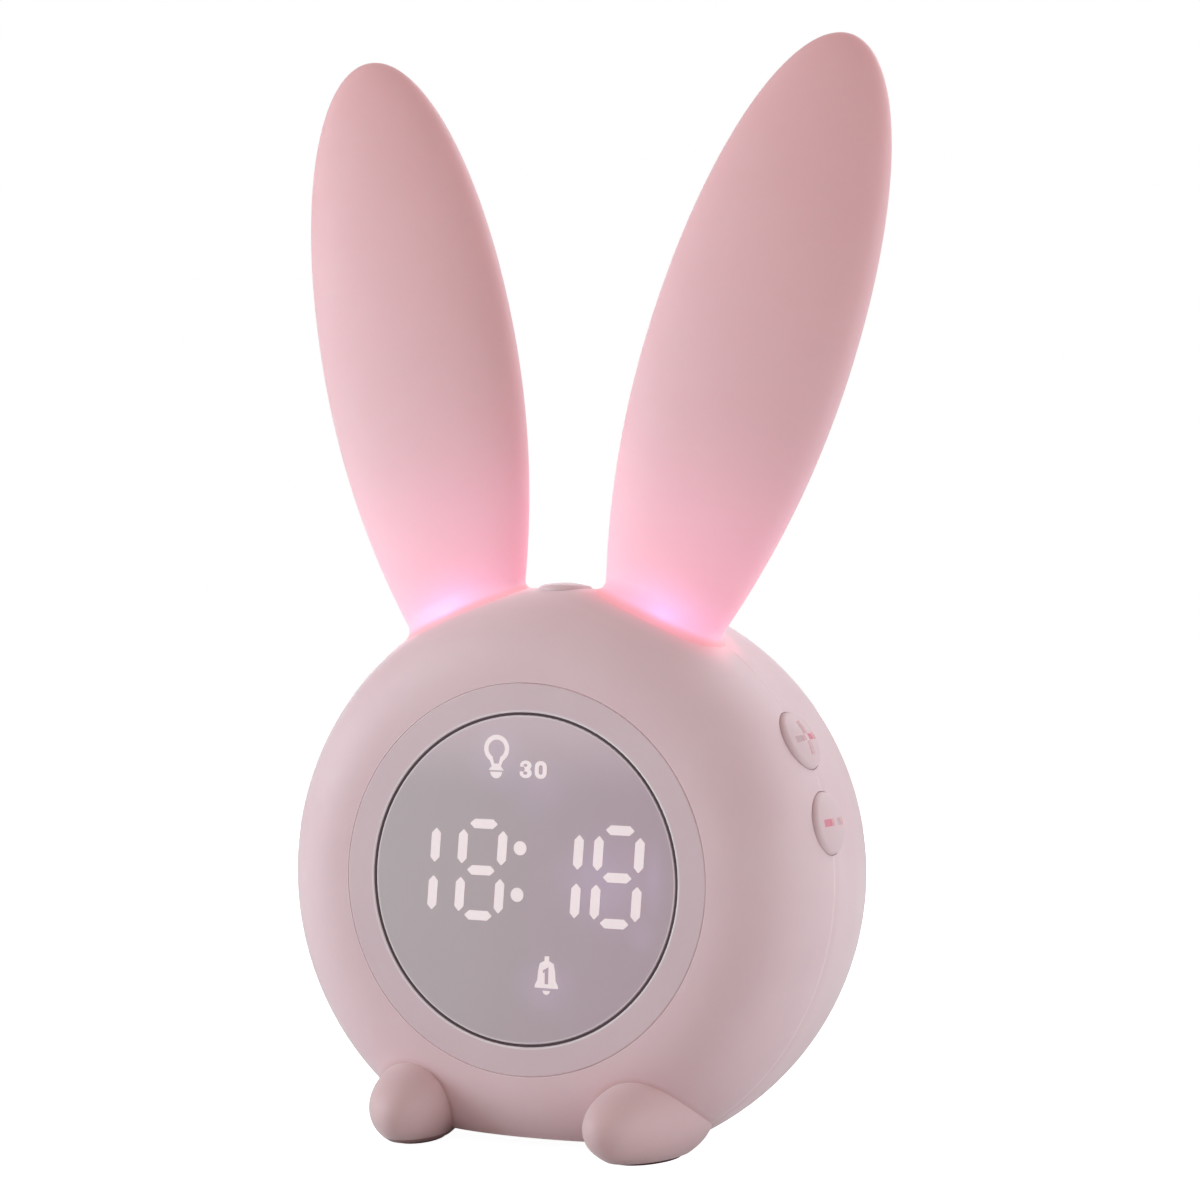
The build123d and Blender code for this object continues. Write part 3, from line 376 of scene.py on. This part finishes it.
finishes = {name: mouldedFinish(name, {**plainLook, **look}) for name, look in looks.items()}
for name, worn in wears.items():
    for node in worn:
        wear(nodes[node], finishes[name])
print("finishes made:", len(finishes))


# shapes of the head and of an ear, in mm

headShape = {
    "wide": 52.7,
    "widestY": seamY + 5.5,
    "frontDepth": 21.66,
    "flatRadius": 35.67,
    "frontPower": 2.234,
    "topZ": 99.6,
}

earShape = {
    "root": (18.87, -1.09 + seamY, 92.47),
    "tip": (48.65, 9.38 + seamY, 199.38),
    "halfWidth": 19.88,
    "flatness": 0.342,
    "widest": 0.482,
    "neckTaper": 0.451,
    "neckPower": 2.094,
    "tipPower": 0.972,
    "corners": 40,
    # rings: the first one, a number of even steps where the ear meets the head, then wider and wider apart
    "footRings": (0.0, 1.2, 8.4, 18),
    "neckRings": 9,
    "neckGrowth": 1.2,
    "crownTurns": (8, 16, 24, 32, 40, 48, 56, 64, 71, 77, 82, 86, 88.5),    # in degrees
    "smoothing": 2,
    "flare": 1.5,           # radius of the fillet onto the head at the sides and behind
    "frontFlare": 3.4,
}


def heightOverHead(shape, point):
    # height in mm over the front half of the head, measured away from its level axis
    share = max(shape["widestY"] - point.y, 0) / shape["frontDepth"]
    bulge = max(1 - share ** shape["frontPower"], 0) ** (1 / shape["frontPower"])
    edge = shape["flatRadius"] + (shape["wide"] - shape["flatRadius"]) * bulge
    return max(math.hypot(point.x, point.z - headZ) - edge, point.z - shape["topZ"])


def earLength(shape):
    return (Vector(shape["tip"]) - Vector(shape["root"])).length


def earAxis(shape):
    along = (Vector(shape["tip"]) - Vector(shape["root"])).normalized()
    across = (Vector((1, 0, 0)) - along * along.x).normalized()
    return across, along.cross(across), along


def neckWidth(shape, height, widest):
    below = 1 - height / widest
    return shape["halfWidth"] * (1 - shape["neckTaper"] * below ** shape["neckPower"])


# signs sunk into the side keys

signPaint = {
    "headRadius": 52.44,    # from the middle of the head to the foot of a key
    "domeRadius": 14.0,
    "proud": 1.3,
    "lean": 9.4,            # in degrees
    "reach": 3.4,           # half length of a bar
    "skin": 0.12,           # how far below the dome the paint starts
    "wallTurn": 0.8,        # faces that look less than this share along the dome's normal are walls
    # key, its angle on the head, front side of the bar, rear side, bar along the seam, walls with painted
    # light
    "keys": [("plus_button", 29.4, "signGrey", "signRose", "signGrey", "signWallsPaintedLight"),
             ("minus_button", 12.6, "signRose", "signGrey", "signGrey", "signWallsPaintedLight")],
}


def paintSign(paint, node, angle, *paints):
    turn = math.radians(angle)
    lean = math.radians(paint["lean"])
    out = Vector((math.cos(turn), 0, math.sin(turn)))
    up = Vector((-math.sin(turn), 0, math.cos(turn)))
    foot = Vector((0, seamY, headZ)) + out * paint["headRadius"]
    radius = paint["domeRadius"]
    middle = foot + out * (paint["proud"] - radius * math.cos(lean)) + Vector((0, radius * math.sin(lean), 0))
    mesh = nodes[node].data
    for name in paints:
        mesh.materials.append(finishes[name])
    front, rear, alongSeam, walls = range(1, len(paints) + 1)   # 0 is the finish of the key
    for face in mesh.polygons:
        spot = face.center / mm
        arm = spot - foot
        rise, ahead = arm.dot(up), -arm.y
        if (spot - middle).length > radius - paint["skin"] or arm.dot(out) < 0:
            continue
        if max(abs(ahead), abs(rise)) > paint["reach"]:
            continue
        # walls get the paint whose painted light lifts their shade
        if face.normal.dot((spot - middle).normalized()) < paint["wallTurn"]:
            face.material_index = walls
        elif abs(ahead) >= abs(rise):
            face.material_index = front if ahead > 0 else rear
        else:
            face.material_index = alongSeam


for key in signPaint["keys"]:
    paintSign(signPaint, *key)
print("key signs painted")


# shell: painted highlight on the seam, painted shade on the feet and under the foot at -X, painted light in
# the seam's groove and the ring's gap, and painted pink light round the ear roots

shellTrim = {
    # distances and heights in mm; a pair says where a fade starts and where it ends
    # painted highlight: a narrow lighter band along the seam, low on the head; the same colour is the painted
    # light in the groove and in the gap round the ring
    "seamPaintedLight": colour(250, 236, 238),
    "seamHighlightShare": 0.32,
    "seamHighlightMiddle": 0.25,         # behind the plane of the seam
    "seamHighlightHalf": (0.175, 0.325),
    "seamHighlightTop": (66.0, 70.0),
    # painted light that lifts the shade in the seam's groove
    "grooveLight": 0.14,
    "grooveHalf": (0.07, 0.09),
    # painted shade: the feet darker and browner
    "footShadeTint": colour(214, 178, 176),
    "footShadeShare": 0.5,
    "foot": (22.4, seamY - 9.4, 6.6),
    "footSize": (7.9, 17.9),    # radius and half length
    "footToe": 9.5,
    "footEdge": (1.0, 1.14),    # in sizes of the foot
    # painted shade: a dark red-brown line along the bottom of the foot at -X
    "footBottomShadeTint": colour(140, 78, 78),
    "footBottomShadeShare": 0.85,
    "footBottomShadeTop": (1.3, 1.55),
    "footBottomShadeSide": (-2.0, 0.0),     # only the foot at -X gets the painted shade line
    "spill": colour(255, 70, 112),
    "spillPower": 0.25,
    "spillCurve": 2.0,
    "spillReach": (2.4, 6.0),   # distance from the ear
    "spillLow": (headZ + 15, headZ + 20),
}


def awayFromEar(tree, where, shape):
    # distance in m from the side of an ear, for a point given with its x without sign
    across, thick, along = earAxis(shape)
    arm = armFrom(tree, where, shape["root"])
    below = spread(tree, dotWith(tree, arm, along), 0, shape["widest"] * earLength(shape) * mm, 1, 0)
    narrowing = sums(tree, "MULTIPLY", sums(tree, "POWER", below, shape["neckPower"]), -shape["neckTaper"])
    halfWidth = sums(tree, "MULTIPLY", sums(tree, "ADD", narrowing, 1.0), shape["halfWidth"] * mm)
    halfDepth = sums(tree, "MULTIPLY", halfWidth, shape["flatness"])
    x = sums(tree, "DIVIDE", dotWith(tree, arm, across), halfWidth)
    y = sums(tree, "DIVIDE", dotWith(tree, arm, thick), halfDepth)
    oval = lengthOf(tree, x, y)
    slope = lengthOf(tree, sums(tree, "DIVIDE", x, halfWidth), sums(tree, "DIVIDE", y, halfDepth))
    beyond = sums(tree, "MULTIPLY", sums(tree, "SUBTRACT", oval, 1.0), oval)
    return sums(tree, "DIVIDE", beyond, slope)


def paintedFootShade(tree, trim, where):
    # share of the painted shade on the foot, for a point given with its x without sign
    toe = math.radians(trim["footToe"])
    radius, halfLength = metres(trim["footSize"])
    arm = armFrom(tree, where, trim["foot"])
    long = dotWith(tree, arm, Vector((math.sin(toe), math.cos(toe), 0)) / halfLength)
    wide = dotWith(tree, arm, Vector((math.cos(toe), -math.sin(toe), 0)) / radius)
    high = dotWith(tree, arm, Vector((0, 0, 1)) / radius)
    return spread(tree, lengthOf(tree, long, wide, high), *trim["footEdge"], trim["footShadeShare"], 0, True)


def fromSeam(tree, y, middle):
    # distance in m from a plane that lies a number of mm behind the seam
    return sums(tree, "ABSOLUTE", sums(tree, "SUBTRACT", y, (seamY + middle) * mm))


def trimShell(finish, trim, ear, edges):
    tree = finish.node_tree
    shader = tree.nodes["Principled BSDF"]
    where = objectPlace(tree)
    x, y, z = split(tree, where)
    unsigned = join(tree, sums(tree, "ABSOLUTE", x), y, z)

    base = shader.inputs["Base Color"].links[0].from_socket
    # painted shade on the feet
    base = blendColours(tree, paintedFootShade(tree, trim, unsigned), base, trim["footShadeTint"])
    # painted highlight along the seam, fading out higher up the head
    line = spread(tree, fromSeam(tree, y, trim["seamHighlightMiddle"]), *metres(trim["seamHighlightHalf"]), 1, 0, True)
    low = spread(tree, z, *metres(trim["seamHighlightTop"]), trim["seamHighlightShare"], 0, True)
    base = blendColours(tree, sums(tree, "MULTIPLY", line, low), base, trim["seamPaintedLight"])
    # painted shade line along the bottom of the foot at -X
    footBottomShade = spread(tree, z, *metres(trim["footBottomShadeTop"]), trim["footBottomShadeShare"], 0, True)
    footBottomShadeSide = spread(tree, x, *metres(trim["footBottomShadeSide"]), 1, 0)
    base = blendColours(tree, sums(tree, "MULTIPLY", footBottomShade, footBottomShadeSide), base, trim["footBottomShadeTint"])
    tree.links.new(base, shader.inputs["Base Color"])

    spill = spread(tree, awayFromEar(tree, unsigned, ear), *metres(trim["spillReach"]), 1, 0)
    spill = sums(tree, "POWER", spill, trim["spillCurve"])
    spill = sums(tree, "MULTIPLY", spill, spread(tree, z, *metres(trim["spillLow"]), 0, 1))
    # painted light in the seam's groove and in the gap round the ring lifts their shade
    groove = spread(tree, fromSeam(tree, y, 0), *metres(trim["grooveHalf"]), 1, 0)
    gap = inGap(tree, where, edges)
    light = blendColours(tree, groove, trim["spill"], trim["seamPaintedLight"])
    tree.links.new(blendColours(tree, gap, light, trim["seamPaintedLight"]), shader.inputs["Emission Color"])
    power = 0.0
    strengths = (trim["spillPower"], trim["grooveLight"], edges["gapLight"])
    for share, strength in zip((spill, groove, gap), strengths):
        power = sums(tree, "MAXIMUM", power, sums(tree, "MULTIPLY", share, strength))
    tree.links.new(power, shader.inputs["Emission Strength"])


# face ring and lens

faceEdges = {
    # radii from the middle of the face, in mm
    # tint: colour of the painted highlights on the inner edge of the ring and the outer edge of the lens, and
    # of the painted light in the gap
    "tint": colour(250, 240, 242),
    "ringHighlightEdge": (29.65, 29.95),     # where the painted highlight on the inner edge of the ring fades out
    "ringHighlightShare": 0.7,
    "lensHighlightEdge": (28.5, 28.75),      # where the painted highlight on the outer edge of the lens starts
    "lensHighlightShare": 0.55,
    "gap": (34.63, 34.8),           # the narrow gap round the ring, softened with a little light
    "gapLight": 0.08,
    "gapDepth": 8.0,                # the gap is further than this in front of the seam
}


def faceRadius(tree, where):
    x, _, z = split(tree, where)
    return lengthOf(tree, x, sums(tree, "SUBTRACT", z, headZ * mm))


def inGap(tree, where, edges):
    radius = faceRadius(tree, where)
    inner, outer = metres(edges["gap"])
    beyond = sums(tree, "GREATER_THAN", radius, inner)
    within = sums(tree, "LESS_THAN", radius, outer)
    inFront = sums(tree, "LESS_THAN", split(tree, where)[1], (seamY - edges["gapDepth"]) * mm)
    return sums(tree, "MULTIPLY", sums(tree, "MULTIPLY", beyond, within), inFront)


def lightenRing(finish, edges):
    tree = finish.node_tree
    shader = tree.nodes["Principled BSDF"]
    where = objectPlace(tree)
    # painted highlight on the ring's inner edge, and painted light in the gap round it
    share = spread(tree, faceRadius(tree, where), *metres(edges["ringHighlightEdge"]), edges["ringHighlightShare"], 0, True)
    base = shader.inputs["Base Color"].links[0].from_socket
    tree.links.new(blendColours(tree, share, base, edges["tint"]), shader.inputs["Base Color"])
    power = sums(tree, "MULTIPLY", inGap(tree, where, edges), edges["gapLight"])
    shader.inputs["Emission Color"].default_value = edges["tint"]
    tree.links.new(power, shader.inputs["Emission Strength"])


trimShell(finishes["shellPink"], shellTrim, earShape, faceEdges)
lightenRing(finishes["ringPink"], faceEdges)
print("shell and ring trimmed")

lensLook = {
    "surface": {"rough": (0.30, 0.36), "glossSize": 4, "grainStrength": 0.0, "shine": 0.35},
    # painted shading: the lens darker and pinker towards the right, and painted light towards the top
    "left": colour(201, 190, 192),
    "right": colour(201, 181, 190),
    "turn": (-25.0, 25.0),          # where the left tint starts to turn into the right one, and where it ends
    "top": colour(226, 206, 212),
    "topShare": 0.95,
    "topStart": (headZ + 14, headZ + 29),
    "glow": colour(150, 130, 190),
    # patches where light leaks round the lit figures: place across and up, half width and height, strength
    "leaks": [(-5.6, 20.5, 8, 8, 0.10), (3.0, 16.0, 9, 7, 0.09), (15.5, 0.5, 14, 12, 0.15),
              (24.9, 1.0, 2.2, 9, 0.10), (22.8, -8.5, 4, 4, 0.09), (5.0, -18.5, 8, 7, 0.13)],
    "leakClouds": (6, 0.8, 1.1),    # size in mm, least and most strength
}


def lensFinish(look, edges):
    finish, tree, shader, where = startFinish("smokeLens", {**plainLook, **look["surface"]})
    x, _, z = split(tree, where)
    # painted shading across the lens, then painted light towards its top
    tint = blendColours(tree, spread(tree, x, *metres(look["turn"]), 0, 1, True), look["left"], look["right"])
    top = spread(tree, z, *metres(look["topStart"]), 0, look["topShare"], True)
    tint = blendColours(tree, top, tint, look["top"])
    # painted highlight on the outer edge of the lens
    rim = spread(tree, faceRadius(tree, where), *metres(edges["lensHighlightEdge"]), 0, edges["lensHighlightShare"], True)
    tint = blendColours(tree, rim, tint, edges["tint"])
    tree.links.new(tint, shader.inputs["Base Color"])

    glow = 0.0
    for across, up, halfWidth, halfHeight, strength in look["leaks"]:
        away = lengthOf(tree, inHalves(tree, x, across, halfWidth), inHalves(tree, z, headZ + up, halfHeight))
        glow = sums(tree, "ADD", glow, spread(tree, away, 0.0, 1.0, strength, 0.0, True))
    glow = sums(tree, "MULTIPLY", glow, clouds(tree, where, *look["leakClouds"]))
    shader.inputs["Emission Color"].default_value = look["glow"]
    tree.links.new(glow, shader.inputs["Emission Strength"])
    return finish


wear(nodes["display_lens"], lensFinish(lensLook, faceEdges))
print("lens smoked")


# ears

def earRings(shape):
    # height along the ear and half width of each ring, from the root to just below the tip
    length = earLength(shape)
    widest = shape["widest"] * length
    start, low, high, count = shape["footRings"]
    heights = [start] + [low + (high - low) * i / count for i in range(count + 1)]
    steps = shape["neckRings"]
    heights += [high + (widest - high) * ((i + 1) / steps) ** shape["neckGrowth"] for i in range(steps)]
    rings = [(height, neckWidth(shape, height, widest)) for height in heights]
    for degrees in shape["crownTurns"]:
        turn = math.radians(degrees)
        rings.append((widest + (length - widest) * math.sin(turn),
                      shape["halfWidth"] * math.cos(turn) ** shape["tipPower"]))
    return rings, length


def flareFoot(ear, shape, side):
    # soft hollow fillet onto the head, and the height over the head kept for the finish
    across, thick, _ = earAxis(shape)
    sign = 1 if side == "right" else -1
    root = Vector(shape["root"])
    overHead = ear.data.attributes.new("overHead", "FLOAT", "POINT")
    for vertex, kept in zip(ear.data.vertices, overHead.data):
        spot = Vector((vertex.co.x * sign, vertex.co.y, vertex.co.z)) / mm
        height = heightOverHead(headShape, spot)
        kept.value = height
        arm = spot - root
        outward = (across * arm.dot(across) + thick * arm.dot(thick) / shape["flatness"] ** 2).normalized()
        radius = shape["flare"] + (shape["frontFlare"] - shape["flare"]) * max(-outward.y, 0) ** 2
        if height > radius:
            continue
        near = radius - max(height, 0)
        push = radius - math.sqrt(radius ** 2 - near ** 2)
        moved = spot + outward * push
        up = Vector((moved.x, 0, moved.z - headZ)).normalized()
        moved += up * (height - heightOverHead(headShape, moved))
        vertex.co = Vector((moved.x * sign, moved.y, moved.z)) * mm


def turnFacesOut():
    # starts in edit mode and goes back to object mode
    bpy.ops.mesh.select_all(action="SELECT")
    bpy.ops.mesh.normals_make_consistent(inside=False)
    bpy.ops.object.mode_set(mode="OBJECT")


def makeEar(shape, side):
    rings, length = earRings(shape)
    bpy.ops.object.select_all(action="DESELECT")
    bpy.ops.mesh.primitive_circle_add(vertices=shape["corners"], radius=1.0, fill_type="NGON")
    ear = bpy.context.object
    ear.name = "silicone_ear_" + side
    bpy.ops.object.mode_set(mode="EDIT")
    bpy.ops.mesh.select_all(action="SELECT")
    bpy.ops.transform.resize(value=(rings[0][1] * mm, rings[0][1] * shape["flatness"] * mm, 1))
    for (low, wide), (high, nextWide) in zip(rings, rings[1:]):
        bpy.ops.mesh.extrude_region_move(TRANSFORM_OT_translate={"value": (0, 0, (high - low) * mm)})
        grow = nextWide / wide
        bpy.ops.transform.resize(value=(grow, grow, 1))
    bpy.ops.mesh.extrude_region_move(TRANSFORM_OT_translate={"value": (0, 0, (length - rings[-1][0]) * mm)})
    bpy.ops.mesh.merge(type="CENTER")
    turnFacesOut()
    ear.matrix_world = (Matrix.Translation(Vector(shape["root"]) * mm)
                        @ Matrix(earAxis(shape)).transposed().to_4x4())
    if side == "left":
        ear.matrix_world = Matrix.Diagonal((-1, 1, 1, 1)) @ ear.matrix_world
    bpy.ops.object.transform_apply(location=True, rotation=True, scale=True)
    smooth = ear.modifiers.new("smooth", "SUBSURF")
    smooth.levels = shape["smoothing"]
    smooth.render_levels = shape["smoothing"]
    bpy.ops.object.modifier_apply(modifier="smooth")
    bpy.ops.object.mode_set(mode="EDIT")
    turnFacesOut()
    flareFoot(ear, shape, side)
    bpy.ops.object.shade_smooth()
    return ear


earLook = {
    # heights along the ear and sizes in mm; a pair of heights says where a fade starts and where it ends
    "surface": {"rough": (0.5, 0.6), "glossSize": 5, "grainSize": 0.18, "grainStrength": 0.1, "depth": 0.3,
                "depthReach": (1.0, 0.6, 0.65), "shine": 0.3, "sheen": 0.45},
    "tint": colour(251, 206, 211),
    # painted shade: the ear's colour turns darker towards its tip
    "tipShadeTint": colour(242, 190, 192),
    "tipShadeHeights": (20.0, 111.0),
    "tintClouds": (16, -0.06, 0.06),    # size, and the least and most that they add at random to the share of the painted tip shade
    "glow": colour(255, 124, 178),
    "glowPower": 0.31,
    "glowCurve": 2.2,
    "glowHeights": (4.0, 62.0),
    "hot": colour(206, 164, 255),
    "hotPower": 0.74,
    "hotCurve": 2.4,
    "hotPlace": {"right": 2.0, "left": 1.8},    # how far outwards from the middle of each ear
    "hotRise": 0.6,                             # over the head
    "hotSize": (12.0, 7.0),                     # half width and half height
    "hotReach": 1.7,                            # where it ends, in half sizes
    "hem": colour(255, 130, 134),
    "hemGlowTint": colour(255, 190, 194),
    "hemPower": 0.2,
    "hemShare": 0.8,
    "hemStart": -0.1,                           # over the head, where its light starts to fade
    "hemWidth": 0.9,
}


def earFinish(look, shape, side):
    name = "glowSilicone" + side.capitalize()
    finish, tree, shader, where = startFinish(name, {**plainLook, **look["surface"]})
    across, _, along = earAxis(shape)
    mirrored = Vector((1 if side == "right" else -1, 1, 1))
    root = Vector(shape["root"])
    height = sums(tree, "SUBTRACT", dotWith(tree, where, along * mirrored), root.dot(along) * mm)
    over = addNode(tree, "ShaderNodeAttribute", {}, attribute_name="overHead").outputs["Fac"]

    # painted shade, darker towards the tip, with a random share from the clouds
    tipShare = spread(tree, height, *metres(look["tipShadeHeights"]), 0, 1)
    tipShare = sums(tree, "ADD", tipShare, clouds(tree, where, *look["tintClouds"]))
    tint = blendColours(tree, tipShare, look["tint"], look["tipShadeTint"])
    # painted glow: the base colour lighter along the hem where the ear meets the head
    hem = spread(tree, over, 0.0, look["hemWidth"], 1.0, 0.0, True)
    tree.links.new(blendColours(tree, hem, tint, look["hemGlowTint"]), shader.inputs["Base Color"])

    glow = spread(tree, height, *metres(look["glowHeights"]), 1.0, 0.0, True)
    glow = sums(tree, "MULTIPLY", sums(tree, "POWER", glow, look["glowCurve"]), look["glowPower"])
    halfWidth, halfHeight = look["hotSize"]
    outwards = dotWith(tree, where, across * mirrored)
    outwards = inHalves(tree, outwards, root.dot(across) + look["hotPlace"][side], halfWidth)
    upwards = sums(tree, "DIVIDE", sums(tree, "SUBTRACT", over, look["hotRise"]), halfHeight)
    hot = spread(tree, lengthOf(tree, outwards, upwards), 0.0, look["hotReach"], 1.0, 0.0)
    hot = sums(tree, "POWER", hot, look["hotCurve"])
    hem = spread(tree, over, look["hemStart"], look["hemWidth"], look["hemShare"], 0.0, True)
    light = blendColours(tree, hem, blendColours(tree, hot, look["glow"], look["hot"]), look["hem"])
    power = blendNumbers(tree, hem, blendNumbers(tree, hot, glow, look["hotPower"]), look["hemPower"])
    tree.links.new(light, shader.inputs["Emission Color"])
    tree.links.new(power, shader.inputs["Emission Strength"])
    return finish


for side in ("right", "left"):
    ear = makeEar(earShape, side)
    wear(ear, earFinish(earLook, earShape, side))
    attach(ear, "clock")
    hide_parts("ear_" + side)
print("ears moulded")
